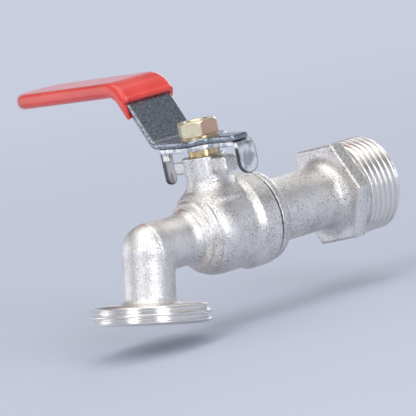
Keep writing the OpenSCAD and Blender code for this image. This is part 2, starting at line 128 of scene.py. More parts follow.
def hexagon(u, v, across_flats, turned):
    """Hexagon with one corner turned from the u axis by that many degrees."""
    sides = []
    for i in range(3):
        a = math.radians(turned + 30 + 60 * i)
        sides.append(np.abs(u * math.cos(a) + v * math.sin(a)) - across_flats / 2)
    return np.maximum(np.maximum(sides[0], sides[1]), sides[2])


# Surface nets: a field is sampled in full only in the blocks of cells that its surface may cross

BLOCK_CELLS, BLOCKS_AT_ONCE = 12, 200
# Half a cube's diagonal as a share of its side, and how much further from the surface a block still counts
HALF_DIAGONAL, MARGIN = 0.87, 1.3
# As shares of a cell: the nudge that measures a field's slope, and the longest step towards its surface
NUDGE, LONGEST_STEP = 0.1, 0.5
LEAST_SLOPE_SQUARED = 0.25


def sampled(field, low, high, step):
    """Values of the field on a grid over the box."""
    size = BLOCK_CELLS
    count = np.ceil((high - low) / step / size).astype(int)
    middles = [low[a] + (np.arange(count[a]) + 0.5) * size * step - step / 2 for a in range(3)]
    rough = field(*np.meshgrid(*middles, indexing="ij"))
    near = np.argwhere(np.abs(rough) < size * step * HALF_DIAGONAL * MARGIN)
    values = np.repeat(np.repeat(np.repeat(rough.astype(np.float32), size, 0), size, 1), size, 2)
    # The same values, seen block by block
    blocks = values.reshape(count[0], size, count[1], size, count[2], size).transpose(0, 2, 4, 1, 3, 5)
    ax = np.arange(size) * step
    for first in range(0, len(near), BLOCKS_AT_ONCE):
        b = near[first:first + BLOCKS_AT_ONCE]
        x = (low[0] + b[:, 0] * size * step)[:, None, None, None] + ax[None, :, None, None]
        y = (low[1] + b[:, 1] * size * step)[:, None, None, None] + ax[None, None, :, None]
        z = (low[2] + b[:, 2] * size * step)[:, None, None, None] + ax[None, None, None, :]
        x, y, z = np.broadcast_arrays(x, y, z)
        blocks[b[:, 0], b[:, 1], b[:, 2]] = field(x, y, z).astype(np.float32)
    return values


def net_points(values, low, step):
    """One point in each cell that the surface crosses, and a grid with each cell's point number."""
    inside = values < 0
    shape = values.shape
    cell_corners = [(i, j, k) for i in (0, 1) for j in (0, 1) for k in (0, 1)]
    some = np.zeros(tuple(s - 1 for s in shape), bool)
    every = np.ones_like(some)
    for i, j, k in cell_corners:
        here = inside[i:shape[0] - 1 + i, j:shape[1] - 1 + j, k:shape[2] - 1 + k]
        some |= here
        every &= here
    active = np.argwhere(some & ~every)
    number = np.full(some.shape, -1, np.int32)
    number[tuple(active.T)] = np.arange(len(active))
    level = {start: values[tuple((active + start).T)].astype(float) for start in cell_corners}
    total = np.zeros((len(active), 3))
    hits = np.zeros(len(active))
    # Each cell edge runs from a corner, along one axis, to the corner next to it
    for start in cell_corners:
        for axis in range(3):
            if start[axis]:
                continue
            end = tuple(1 if i == axis else start[i] for i in range(3))
            v0, v1 = level[start], level[end]
            crossed = (v0 < 0) != (v1 < 0)
            share = np.where(crossed, v0 / np.where(crossed, v0 - v1, 1), 0)
            way = np.array(end) - np.array(start)
            at = np.array(start, float)[None, :] + share[:, None] * way[None, :]
            total += at * crossed[:, None]
            hits += crossed
    return low + (active + total / hits[:, None]) * step, number


def net_quads(inside, number):
    """A quad round each grid edge that the surface crosses, through the points of its four cells."""
    shape = inside.shape
    quads = []
    for a in range(3):
        b, c = (a + 1) % 3, (a + 2) % 3
        first, last = [slice(None)] * 3, [slice(None)] * 3
        first[a], last[a] = slice(0, -1), slice(1, None)
        lower, upper = inside[tuple(first)], inside[tuple(last)]
        edges = np.argwhere(lower != upper)
        edges = edges[(edges[:, b] > 0) & (edges[:, c] > 0)
                      & (edges[:, b] < shape[b] - 1) & (edges[:, c] < shape[c] - 1)]
        ring = []
        for db, dc in ((-1, -1), (0, -1), (0, 0), (-1, 0)):
            cell = edges.copy()
            cell[:, b] += db
            cell[:, c] += dc
            ring.append(number[tuple(cell.T)])
        ring = np.stack(ring, 1)
        out = lower[tuple(edges.T)]
        quads.append(np.where(out[:, None], ring, ring[:, ::-1]))
    return np.concatenate(quads)


def settled(points, field, step):
    """The points after two Newton steps onto the true surface."""
    nudge = step * NUDGE
    for _ in range(2):
        x, y, z = points.T
        off = field(x, y, z)
        slope = np.stack([(field(x + nudge, y, z) - field(x - nudge, y, z)),
                          (field(x, y + nudge, z) - field(x, y - nudge, z)),
                          (field(x, y, z + nudge) - field(x, y, z - nudge))], 1) / (2 * nudge)
        move = off[:, None] * slope / np.maximum((slope * slope).sum(1), LEAST_SLOPE_SQUARED)[:, None]
        far = np.linalg.norm(move, axis=1)
        points = points - move * np.minimum(1, LONGEST_STEP * step / np.maximum(far, 1e-9))[:, None]
    return points


def surface(name, field, low, high, step):
    """Mesh of the zero surface of a distance field, in a box, with cells of one step."""
    low = np.array(low, float) - 2 * step
    high = np.array(high, float) + 2 * step
    values = sampled(field, low, high, step)
    points, number = net_points(values, low, step)
    return mesh_object(name, settled(points, field, step), net_quads(values < 0, number))


def mesh_object(name, points, quads):
    """Object from points in millimetres round the stem axis, and quads."""
    mesh = bpy.data.meshes.new(name)
    co = (np.asarray(points, float) - [INLET_REACH, 0, 0]) / 1000
    mesh.vertices.add(len(co))
    mesh.vertices.foreach_set("co", co.astype(np.float32).ravel())
    mesh.loops.add(quads.size)
    mesh.loops.foreach_set("vertex_index", np.asarray(quads, np.int32).ravel())
    mesh.polygons.add(len(quads))
    mesh.polygons.foreach_set("loop_start", np.arange(len(quads), dtype=np.int32) * 4)
    mesh.polygons.foreach_set("use_smooth", np.ones(len(quads), bool))
    mesh.update(calc_edges=True)
    mesh.validate()
    obj = bpy.data.objects.new(name, mesh)
    bpy.context.scene.collection.objects.link(obj)
    return obj


# Pipe threads

# How far the plain core below a thread lies under its roots, and how far the thread's ends dip
CORE_SUNK, END_DIP = 0.12, 0.2
# Shares of the pitch that are flat at root and at crest, and how far the flanks are eased to a curve
FLAT_SHARE, FLANK_EASE = 0.14, 0.45
ROWS_ROUND, ROWS_PER_PITCH = 192, 18


def thread(name, major_r, depth, pitch, start, end, chamfer, place_point):
    """Right-hand pipe thread with rounded crests, as a skin from start to end along its axis."""
    root = major_r - depth
    angles = np.arange(ROWS_ROUND) / ROWS_ROUND * 2 * math.pi
    places = np.linspace(start, end, int((end - start) / pitch * ROWS_PER_PITCH) + 1)
    angle, along = np.meshgrid(angles, places, indexing="ij")
    phase = ((along - start) / pitch - angle / (2 * math.pi)) % 1
    saw = 1 - np.abs(2 * phase - 1)
    tall = np.clip((saw - FLAT_SHARE) / (1 - 2 * FLAT_SHARE), 0, 1)
    tall = tall * tall * (3 - 2 * tall) * FLANK_EASE + tall * (1 - FLANK_EASE)
    ends = np.minimum(along - start, end - along)
    limit = np.minimum(depth, ends * depth / chamfer)
    # Both ends dip into the core, which lies just below the roots
    r = root - END_DIP + np.minimum(depth * tall, limit) + np.minimum(END_DIP, 2 * ends)
    p = place_point(r * np.cos(angle), r * np.sin(angle), along)
    points = np.stack([c.ravel() for c in p], 1)
    rows, cols = angle.shape
    i, j = np.meshgrid(np.arange(rows), np.arange(cols - 1), indexing="ij")
    here, beside = i * cols + j, (i + 1) % rows * cols + j
    quads = np.stack([here, beside, beside + 1, here + 1], -1).reshape(-1, 4)
    return mesh_object(name, points, quads)


# Housing

CHAMBER_R, RIM_R, RIM_START, SEAM_X = 12.1, 13.1, 4.4, 12.0
BEVEL_X, BEVEL_SLOPE = 6.6, 0.5
# The dome's centre, two turned steps and three fine grooves lie this far from the stem, on the spout's side
DOME_X, STEPS_X, GROOVES_X = 2.4, (8.0, 10.2), (7.15, 9.1, 11.0)
STEP_DEPTH, STEP_BLUR = 0.3, 0.08
GROOVE_DEPTH, GROOVE_WIDTH = 0.42, 0.4
SPOUT_R, SPOUT_REACH, SPOUT_LEAN, SPOUT_DROP = 7.05, 24.7, 12.0, 19.9
ELBOW_SWELL = 0.1
DISC_R, DISC_T, DISC_DEPTH, DISC_PITCH, DISC_CHAMFER = 16.625, 5.4, 1.48, 2.309, 0.9
NECK_R, NECK_TOP = 6.0, 20.6
FOOT_TOP, FOOT_LOW, FOOT_SLOPE = 12.6, 8.6, 0.9
LUG_HALF, LUG_REACH, LUG_H, LUG_DROP = 2.5, 11.6, 4.5, 0.5
# Clearance of the bores round what turns or is pushed in
PLAY = 0.05
PORT_R, BALL_R = 5.0, 9.5
CAVITY_GAP, MALE_WALL = 0.5, 0.9
CAVITY_R = BALL_R + CAVITY_GAP
MALE_R = CAVITY_R + MALE_WALL
SOCKET_X, SEAL_W, SEAL_T = 5.0, 0.9, 0.8
SEAT_SUNK, SEAT_LIP, SEAT_T = 0.9, 0.6, 3.7
SEAT_BACK, SEAT_R = BALL_R - SEAT_SUNK, BALL_R - SEAT_LIP
STEM_R, FLANGE_LIP, FLANGE_TOP = 4.0, 1.0, 12.6
FLANGE_R = STEM_R + FLANGE_LIP
# Ledge for the stop tab: its radius, its depth, and the angles of its middle and its half in degrees
STOP_R, STOP_DEPTH, STOP_MIDDLE, STOP_HALF = 4.65, 1.6, 54, 58
MM_PER_DEGREE = 0.09


def spout_frame(x, y, z):
    """Coordinates with -w running from the spout's corner to the outlet."""
    a = math.radians(SPOUT_LEAN)
    dx = x + SPOUT_REACH
    return dx * math.cos(a) - z * math.sin(a), y, dx * math.sin(a) + z * math.cos(a)


def chamber_field(x, radial):
    """Dome with its turned steps and fine grooves, and the rim at the seam with its bright bevel."""
    turned = sum(STEP_DEPTH / (1 + np.exp((x + at) / STEP_BLUR)) for at in STEPS_X)
    turned = turned + GROOVE_DEPTH * sum(np.exp(-((x + at) / GROOVE_WIDTH) ** 2) for at in GROOVES_X)
    dome = np.hypot(np.minimum(x + DOME_X, 0), radial) - CHAMBER_R + turned
    dome = np.maximum(dome, x - SEAM_X)
    rim = rod(radial, x, RIM_R, RIM_START, SEAM_X, 0.3)
    rim = np.maximum(rim, cone(radial, BEVEL_X - x, RIM_R, BEVEL_SLOPE))
    return join(dome, rim, 0.3)


def spout_field(x, radial, down, w, from_corner):
    """Spout with its elbow and the core of its outlet disc."""
    level = rod(radial, x, SPOUT_R, -SPOUT_REACH, 0)
    upright = rod(down, w, SPOUT_R, -SPOUT_DROP + 2, 0)
    spout = join(join(level, upright, 1.2), from_corner - SPOUT_R - ELBOW_SWELL, 0.6)
    disc = rod(down, w, DISC_R - DISC_DEPTH - CORE_SUNK, -SPOUT_DROP, DISC_T - SPOUT_DROP, 0.25)
    return join(spout, disc, 2.0)


def neck_field(x, y, z, across):
    """Neck on its flared foot, with the two lugs."""
    foot = np.maximum(cone(across, z - FOOT_TOP, NECK_R, FOOT_SLOPE), z - FOOT_TOP)
    foot = corner(foot, FOOT_LOW - z, 0.8)
    neck = join(rod(across, z, NECK_R, 0, NECK_TOP, 0.35), foot, 1.6)
    lug_z = NECK_TOP - LUG_DROP - LUG_H / 2
    lug = corner(block(x, y, LUG_HALF, LUG_REACH, 1.0), np.abs(z - lug_z) - LUG_H / 2, 0.9)
    return join(neck, lug, 0.7)


def body_field(x, y, z):
    """The whole housing in one forging, hollow inside."""
    radial = np.hypot(y, z)
    across = np.hypot(x, y)
    u, v, w = spout_frame(x, y, z)
    down = np.hypot(u, v)
    from_corner = np.sqrt((x + SPOUT_REACH) ** 2 + y * y + z * z)
    shell = join(chamber_field(x, radial), spout_field(x, radial, down, w, from_corner), 2.2)
    shell = join(shell, neck_field(x, y, z, across), 1.3)
    hollow = union(
        # Waterway of the spout, with its corner
        rod(radial, x, PORT_R, -SPOUT_REACH, 0),
        rod(down, w, PORT_R, -SPOUT_DROP - 1, 0),
        from_corner - PORT_R - ELBOW_SWELL,
        # Seat pocket, cavity, socket for the adapter and groove for its seal
        rod(radial, x, SEAT_R + PLAY, -SEAT_BACK, 0),
        rod(radial, x, CAVITY_R, SEAT_T - SEAT_BACK, SEAM_X),
        rod(radial, x, MALE_R + PLAY, SOCKET_X, SEAM_X + 1),
        rod(radial, x, MALE_R + SEAL_W, SEAM_X - SEAL_T, SEAM_X + 1),
        # Stem bore and the pocket for the stem's flange
        rod(across, z, STEM_R + PLAY, 0, NECK_TOP + 1),
        rod(across, z, FLANGE_R + PLAY, 0, FLANGE_TOP + PLAY))
    shell = cut(shell, hollow, 0.25)
    # Ledge for the stop tab, on the far side of the neck's rim
    angle = np.degrees(np.arctan2(y, x))
    ledge = corner(STOP_R - across, NECK_TOP - STOP_DEPTH - z)
    ledge = np.maximum(ledge, (np.abs(angle - STOP_MIDDLE) - STOP_HALF) * MM_PER_DEGREE)
    return np.maximum(shell, -ledge)


def disc_point(p, q, along):
    """Place on the outlet disc; along runs from the outlet face upwards."""
    a = math.radians(SPOUT_LEAN)
    w = along - SPOUT_DROP
    return p * math.cos(a) + w * math.sin(a) - SPOUT_REACH, q, -p * math.sin(a) + w * math.cos(a)


# End adapter

HEX_AF, HEX_LEN, HEX_TURN = 26.6, 4.4, 24.2
THREAD_LEN = 12.5
THREAD_START = INLET_REACH - THREAD_LEN
HEX_START = THREAD_START - HEX_LEN
TUBE_R, TUBE_END = 8.85, 50
SHOULDER_R, SHOULDER_X, SHOULDER_ROUND = 12.7, 16.75, 3.55
SEAM_GAP = 0.36
MALE_START = 5.5
INLET_R, INLET_DEPTH, INLET_PITCH, INLET_CHAMFER = 13.22, 1.16, 1.814, 1.2
# The waterway widens from the narrow to the wide radius between these two places
NARROW_R, NARROW_END, WIDE_R, WIDE_START = 6.5, 37, 9.0, 40
WIDENING = (WIDE_R - NARROW_R) / (WIDE_START - NARROW_END)


def adapter_field(x, y, z):
    """Shoulder at the seam, tube, hexagon, core of the inlet thread, and the end screwed into the housing."""
    radial = np.hypot(y, z)
    shoulder = corner(radial - SHOULDER_R, x - SHOULDER_X, SHOULDER_ROUND)
    shoulder = corner(shoulder, SEAM_X + SEAM_GAP - x, 0.25)
    shell = join(shoulder, rod(radial, x, TUBE_R, SEAM_X, TUBE_END), 0.8)
    nut = hexagon(-z, y, HEX_AF, HEX_TURN)
    nut = corner(nut, np.abs(x - HEX_START - HEX_LEN / 2) - HEX_LEN / 2, 0.75)
    shell = join(shell, nut, 3.2)
    core = rod(radial, x, INLET_R - INLET_DEPTH - CORE_SUNK, THREAD_START - 1, INLET_REACH, 0.2)
    shell = join(shell, core, 0.4)
    shell = np.minimum(shell, rod(radial, x, MALE_R, MALE_START, SEAM_X + 0.2, 0.3))
    widening = np.maximum(cone(radial, NARROW_END - x, NARROW_R, WIDENING),
                          np.maximum(NARROW_END - x, x - WIDE_START - 1))
    hollow = union(rod(radial, x, SEAT_R + PLAY, 0, SEAT_BACK),
                   rod(radial, x, NARROW_R, 0, INLET_REACH),
                   widening,
                   rod(radial, x, WIDE_R, WIDE_START, INLET_REACH + 1))
    return cut(shell, hollow, 0.3)


def inlet_point(p, q, along):
    """Place on the inlet, whose axis is X."""
    return along, p, q


# Bent sheets: a path in the side view, with the sheet's outline laid along it

def sheet_path(points, radii):
    """Straight runs, and bends of the given middle radii, along the points, and their whole length."""
    corners = [np.array(p, float) for p in points]
    pieces, here, total = [], corners[0], 0.0
    for i in range(1, len(corners)):
        d = corners[i] - corners[i - 1]
        d /= np.linalg.norm(d)
        if i < len(corners) - 1:
            e = corners[i + 1] - corners[i]
            e /= np.linalg.norm(e)
            bend = math.atan2(d[0] * e[1] - d[1] * e[0], d @ e)
            r = radii[i - 1]
            back = r * math.tan(abs(bend) / 2)
            stop = corners[i] - d * back
            length = np.linalg.norm(stop - here)
            pieces.append(("run", here, d, total, length))
            total += length
            side = math.copysign(1, bend)
            normal = np.array([-d[1], d[0]]) * side
            pieces.append(("bend", stop + normal * r, (d, side, r, abs(bend)), total, r * abs(bend)))
            total += r * abs(bend)
            here = corners[i] + e * back
        else:
            length = np.linalg.norm(corners[i] - here)
            pieces.append(("run", here, d, total, length))
            total += length
    return pieces, total


def on_path(pieces, y, z):
    """Distance along the path and off its middle line, for each point of the side view."""
    best = along = off = None
    for n, (kind, at, data, start, length) in enumerate(pieces):
        if kind == "run":
            s = (y - at[0]) * data[0] + (z - at[1]) * data[1]
            d = -(y - at[0]) * data[1] + (z - at[1]) * data[0]
            # The first and the last run go on past their ends
            low = -1e9 if n == 0 else 0.0
            high = 1e9 if n == len(pieces) - 1 else length
            miss = np.hypot(d, s - np.clip(s, low, high))
        else:
            d0, side, r, bend = data
            ry, rz = (y - at[0]), (z - at[1])
            far = np.hypot(ry, rz)
            # Angle from where the bend starts
            sy, sz = d0[1] * side, -d0[0] * side
            a = np.arctan2((sy * rz - sz * ry) * side, sy * ry + sz * rz)
            s = r * a
            d = (r - far) * side
            miss = np.where((a >= 0) & (a <= bend), np.abs(d), 1e6)
        if best is None:
            best, along, off = miss, s + start, d
        else:
            take = miss < best
            best = np.where(take, miss, best)
            along = np.where(take, s + start, along)
            off = np.where(take, d, off)
    return along, off


# Lever, with the grip dipped over its end. It lies on the plate, and the plate on the stem's shoulder

STEM_SHOULDER_H = 1.9
PLATE_LOW = NECK_TOP + STEM_SHOULDER_H
PLATE_T, LEVER_T, LEVER_W = 1.5, 1.7, 15.2
STEM_HOLE_R = 3.05
LEVER_LOW = PLATE_LOW + PLATE_T
LEVER_TOP = LEVER_LOW + LEVER_T
SHEET_MID = LEVER_LOW + LEVER_T / 2
# The lever bends up at BEND_Y, rises by RISE_H at the angle RISE, and runs out to REACH with a slight droop
BEND_Y, RISE, RISE_H, REACH, DROOP = 11.9, math.radians(56), 16.7, 75.4, math.radians(1.6)
CREST_Y = BEND_Y + RISE_H / math.tan(RISE)
FOOT_BEND_R, CREST_BEND_R = 2.6, 7.0
TONGUE_Y, TONGUE_HALF = 18.0, 3.0
END_Z = SHEET_MID + RISE_H - (REACH - CREST_Y) * math.tan(DROOP)
# The path starts this far before the stem axis and runs on past the sheet's end
AT_STEM, RUN_ON = 30.0, 5
LEVER_PATH, PATH_LENGTH = sheet_path(
    [(-AT_STEM, SHEET_MID), (BEND_Y, SHEET_MID), (CREST_Y, SHEET_MID + RISE_H), (REACH + RUN_ON, END_Z)],
    [FOOT_BEND_R, CREST_BEND_R])
PATH_END = PATH_LENGTH - RUN_ON / math.cos(DROOP)

# The grip stays a hair inside the CAD grip. Its mouth lies GRIP_START up the rise from the foot's corner
GRIP_WALL, GRIP_START, GRIP_SKIRT, GRIP_ROUND = 1.3, 14.6, 4.2, 1.75
SKIN_INSIDE, END_INSIDE = 0.02, 0.03
FOOT_BEND_SAVE = 2 * FOOT_BEND_R * math.tan(RISE / 2) - FOOT_BEND_R * RISE
GRIP_MOUTH = AT_STEM + BEND_Y + GRIP_START - FOOT_BEND_SAVE
LIP_H, LIP_WIDTH, LIP_BACK = 0.4, 0.5, 0.7
# The mouth is hollow round the sheet only as deep as this, as the rest isn't seen
MOUTH_DEPTH = 2.0


def lever_field(x, y, z):
    """Lever with its round foot, its tongue to the front and its hole for the stem."""
    s, d = on_path(LEVER_PATH, y, z)
    t = s - AT_STEM
    half = LEVER_W / 2
    plan = np.minimum(np.hypot(x, t) - half, strip(x, t, half, PATH_END - AT_STEM - GRIP_WALL))
    plan = join(plan, block(x, t + TONGUE_Y / 2, TONGUE_HALF, TONGUE_Y / 2, 1.0), 1.2)
    plan = np.maximum(plan, STEM_HOLE_R - np.hypot(x, t))
    return corner(plan, np.abs(d) - LEVER_T / 2, 0.7)


def grip_field(x, y, z):
    """Dipped grip with its slanted skirt and rolled lip."""
    s, d = on_path(LEVER_PATH, y, z)
    t = s - GRIP_MOUTH
    thick = LEVER_T / 2 + GRIP_WALL - SKIN_INSIDE
    half = LEVER_W / 2 + GRIP_WALL
    end = PATH_END - GRIP_MOUTH - END_INSIDE
    # The mouth is cut straight on top. The skirt below runs to a point along the sheet, on the -X side
    skirt = np.interp(d, [-thick, -LEVER_T / 2, LEVER_T / 2], [GRIP_SKIRT / 2, GRIP_SKIRT, 0.0])
    mouth = -(t + skirt * np.interp(x, [-half, half], [1.0, 0.2]))
    # A rolled lip stands up along the mouth on the upper side only
    lip = LIP_H * np.exp(-((mouth + LIP_BACK) / LIP_WIDTH) ** 2) * np.interp(d, [0.0, thick], [0.0, 1.0])
    plan = np.where(t > end - half, np.hypot(x, t - end + half) - half, np.abs(x) - half)
    skin = corner(plan, np.abs(d) - thick - lip, GRIP_ROUND)
    # Halved, as the slanted skirt makes the mouth's field too steep
    skin = corner(skin, mouth * 0.5, 0.25)
    inner = corner(np.abs(x) - LEVER_W / 2, np.abs(d) - LEVER_T / 2, 0.5)
    inner = np.maximum(inner, t - MOUTH_DEPTH)
    return cut(skin, inner, 0.3)


# Lock plate

PLATE_MID = PLATE_LOW + PLATE_T / 2
WING_Y = 11.2
# Each arm's middle and half width along X, and the height of its foot
FRONT_ARM, REAR_ARM = (0.8, 3.1, 14.6), (-1.5, 1.6, 13.1)
FRONT_Y, REAR_Y, PLATE_BEND_R = 18.6, 15.5, 1.45
# The path runs down both arms, from this height in front to the housing's axis behind
FRONT_PATH_Z = 5
PLATE_PATH, _ = sheet_path(
    [(-FRONT_Y + PLATE_T / 2, FRONT_PATH_Z), (-FRONT_Y + PLATE_T / 2, PLATE_MID),
     (REAR_Y - PLATE_T / 2, PLATE_MID), (REAR_Y - PLATE_T / 2, 0)],
    [PLATE_BEND_R, PLATE_BEND_R])
BEND_SAVE = 2 * PLATE_BEND_R - PLATE_BEND_R * math.pi / 2
PLATE_AT_STEM = PLATE_MID - FRONT_PATH_Z - BEND_SAVE + FRONT_Y - PLATE_T / 2
# Corner tab: its place along Y, half width, and how far it reaches above and below the plate's underside
TAB_Y, TAB_HALF, TAB_UP, TAB_DOWN = 7.3, 1.3, 0.8, 2.0
# Stop tab: angle, middle radius, thickness and half width, and its reach above and below the neck's top
STOP_ANGLE, STOP_TAB_R, STOP_TAB_T, STOP_TAB_HALF = math.radians(9), 5.25, 0.9, 1.0
STOP_TAB_UP, STOP_TAB_DOWN = 2.2, 1.3


def arm(x, t, shape, reach):
    """Arm of the plate laid flat, with t running outwards from the stem."""
    middle, half, foot = shape
    return strip(x - middle, t, half, reach - PLATE_T / 2 - BEND_SAVE + PLATE_MID - foot)


def between(z, low, high):
    """Slab between two heights."""
    return np.abs(z - (low + high) / 2) - (high - low) / 2


def plate_field(x, y, z):
    """Plate with its two arms turned down, its corner tab and its stop tab."""
    s, d = on_path(PLATE_PATH, y, z)
    t = s - PLATE_AT_STEM
    half = LEVER_W / 2
    plan = np.minimum(np.hypot(x, t) - half, block(x, t - WING_Y / 2, half, WING_Y / 2, 3.0))
    arms = np.minimum(arm(x, -t, FRONT_ARM, FRONT_Y), arm(x, t, REAR_ARM, REAR_Y))
    plan = join(plan, arms, 0.8)
    plan = np.maximum(plan, STEM_HOLE_R - np.hypot(x, t))
    sheet = corner(plan, np.abs(d) - PLATE_T / 2, 0.4)
    tab = corner(block(x + half - PLATE_T / 2, y - TAB_Y, PLATE_T / 2, TAB_HALF, 0.3),
                 between(z, PLATE_LOW - TAB_DOWN, PLATE_LOW + TAB_UP), 0.3)
    u = x * math.cos(STOP_ANGLE) + y * math.sin(STOP_ANGLE)
    v = -x * math.sin(STOP_ANGLE) + y * math.cos(STOP_ANGLE)
    stop = corner(block(u - STOP_TAB_R, v, STOP_TAB_T / 2, STOP_TAB_HALF, 0.15),
                  between(z, NECK_TOP - STOP_TAB_DOWN, NECK_TOP + STOP_TAB_UP), 0.15)
    return np.minimum(join(sheet, tab, 0.3), stop)


# Handle nut, on its washer

NUT_WASHER_T = 0.4
NUT_LOW = LEVER_TOP + NUT_WASHER_T
NUT_H, NUT_AF, NUT_TURN = 4.1, 10.0, 2
# Radius and slope of the cones that turn off the corners, at the crown and at the nut's foot
CROWN, NUT_FOOT = (5.15, 0.9), (5.5, 1.6)
# The hole, and the radius and depth of its countersunk mouth
NUT_HOLE_R, MOUTH_R, MOUTH_H = 2.95, 3.4, 0.6


def nut_field(x, y, z):
    """Hexagon nut with turned corners and a countersunk hole."""
    across = np.hypot(x, y)
    up = z - NUT_LOW
    body = corner(hexagon(x, y, NUT_AF, NUT_TURN), np.abs(up - NUT_H / 2) - NUT_H / 2, 0.12)
    body = np.maximum(body, cone(across, up - NUT_H, *CROWN))
    body = np.maximum(body, cone(across, -up, *NUT_FOOT))
    mouth = np.maximum(across - MOUTH_R - (up - NUT_H), NUT_H - MOUTH_H - up)
    return cut(body, np.minimum(across - NUT_HOLE_R, mouth), 0.1)


# Pieces

def hang(obj, body, slot, *nodes):
    """Puts a finished piece on its body in place of its CAD nodes."""
    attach(obj, body)
    if nodes:
        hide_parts(*nodes)
    return obj


shell = hang(surface("body_shell", body_field, low=(-46, -17.5, -25), high=(13, 17.5, 21), step=0.32),
             "housing", "nickel_brass", "body")
adapter = hang(surface("adapter_shell", adapter_field, low=(5, -16, -16), high=(55.2, 16, 16), step=0.32),
               "housing", "nickel_brass", "end_adapter")
inlet_thread = hang(thread("inlet_thread", INLET_R, INLET_DEPTH, INLET_PITCH, THREAD_START, INLET_REACH,
                           INLET_CHAMFER, inlet_point), "housing", "nickel_brass")
outlet_thread = hang(thread("outlet_thread", DISC_R, DISC_DEPTH, DISC_PITCH, 0.0, DISC_T,
                            DISC_CHAMFER, disc_point), "housing", "nickel_brass")
lever = hang(surface("lever_sheet", lever_field, low=(-8.5, -19, 23.5), high=(8.5, 76, 45), step=0.25),
             "lever_set", "zinc_steel", "lever")
grip = hang(surface("grip_dip", grip_field, low=(-10, 17, 30), high=(10, 76, 46), step=0.25),
            "lever_set", "red_vinyl", "lever_grip")
plate = hang(surface("lock_plate_sheet", plate_field,
                     low=(-8.5, -19.5, 12), high=(8.5, 16.5, 24.6), step=0.2),
             "lever_set", "plated_steel", "lock_plate")
nut = hang(surface("handle_nut_hex", nut_field, low=(-6.5, -6.5, 25.6), high=(6.5, 6.5, 30.8), step=0.12),
           "lever_set", "nut_brass", "handle_nut")


# Materials

def srgb(r, g, b):
    """Linear colour from 0-255 screen values."""
    linear = []
    for c in (r / 255, g / 255, b / 255):
        linear.append(c / 12.92 if c <= 0.04045 else ((c + 0.055) / 1.055) ** 2.4)
    return (*linear, 1.0)


class Look:
    """One material's node tree, with short calls for its nodes. Coordinates are in millimetres."""

    # Sockets of the Mix node when it mixes colours
    MIX_FACTOR, MIX_A, MIX_B, MIX_RESULT = 0, 6, 7, 2

    def __init__(self, name):
        self.material = bpy.data.materials.new(name)
        self.material.use_nodes = True
        self.tree = self.material.node_tree
        self.shader = self.tree.nodes["Principled BSDF"]
        coord = self.tree.nodes.new("ShaderNodeTexCoord")
        scale = self.node("ShaderNodeVectorMath", operation="SCALE")
        scale.inputs["Scale"].default_value = 1000
        self.link(coord.outputs["Object"], scale.inputs[0])
        self.mm = scale.outputs[0]

    def node(self, kind, **settings):
        made = self.tree.nodes.new(kind)
        for name, value in settings.items():
            setattr(made, name, value)
        return made

    def link(self, start, end):
        self.tree.links.new(start, end)

    def feed(self, socket, value):
        """Sets a socket to a fixed number or colour, or links it to another node's output."""
        if isinstance(value, (int, float, tuple)):
            socket.default_value = value
        else:
            self.link(value, socket)

    def axes(self):
        """X, Y and Z in millimetres, from the middle of the inlet's face."""
        parts = self.node("ShaderNodeSeparateXYZ")
        self.link(self.mm, parts.inputs[0])
        return parts.outputs

    def stretched(self, x, y, z):
        mapping = self.node("ShaderNodeMapping")
        mapping.inputs["Scale"].default_value = (x, y, z)
        self.link(self.mm, mapping.inputs["Vector"])
        return mapping.outputs["Vector"]

    def noise(self, scale, detail=3.0, rough=0.5, vector=None):
        made = self.node("ShaderNodeTexNoise")
        made.inputs["Scale"].default_value = scale
        made.inputs["Detail"].default_value = detail
        made.inputs["Roughness"].default_value = rough
        self.link(vector or self.mm, made.inputs["Vector"])
        return made.outputs["Fac"]

    def span(self, value, from_low, from_high, to_low, to_high):
        """Value mapped from one range to another, and held at its ends."""
        made = self.node("ShaderNodeMapRange")
        made.inputs["From Min"].default_value = from_low
        made.inputs["From Max"].default_value = from_high
        made.inputs["To Min"].default_value = to_low
        made.inputs["To Max"].default_value = to_high
        self.link(value, made.inputs["Value"])
        return made.outputs["Result"]

    def math(self, operation, a, b=0.0):
        made = self.node("ShaderNodeMath", operation=operation)
        self.feed(made.inputs[0], a)
        self.feed(made.inputs[1], b)
        return made.outputs[0]

    def mix(self, factor, a, b):
        made = self.node("ShaderNodeMix", data_type="RGBA")
        self.link(factor, made.inputs[self.MIX_FACTOR])
        self.feed(made.inputs[self.MIX_A], a)
        self.feed(made.inputs[self.MIX_B], b)
        return made.outputs[self.MIX_RESULT]

    def bump(self, height, strength, distance, below=None):
        made = self.node("ShaderNodeBump")
        made.inputs["Strength"].default_value = strength
        made.inputs["Distance"].default_value = distance / 1000
        self.link(height, made.inputs["Height"])
        if below is not None:
            self.link(below, made.inputs["Normal"])
        return made.outputs["Normal"]

    def finish(self, colour, rough, normal, **fixed):
        """Feeds the shader, with further fixed settings named like its sockets, and gives the material."""
        self.feed(self.shader.inputs["Base Color"], colour)
        self.feed(self.shader.inputs["Roughness"], rough)
        self.feed(self.shader.inputs["Normal"], normal)
        for name, value in fixed.items():
            self.shader.inputs[name.replace("_", " ")].default_value = value
        return self.material


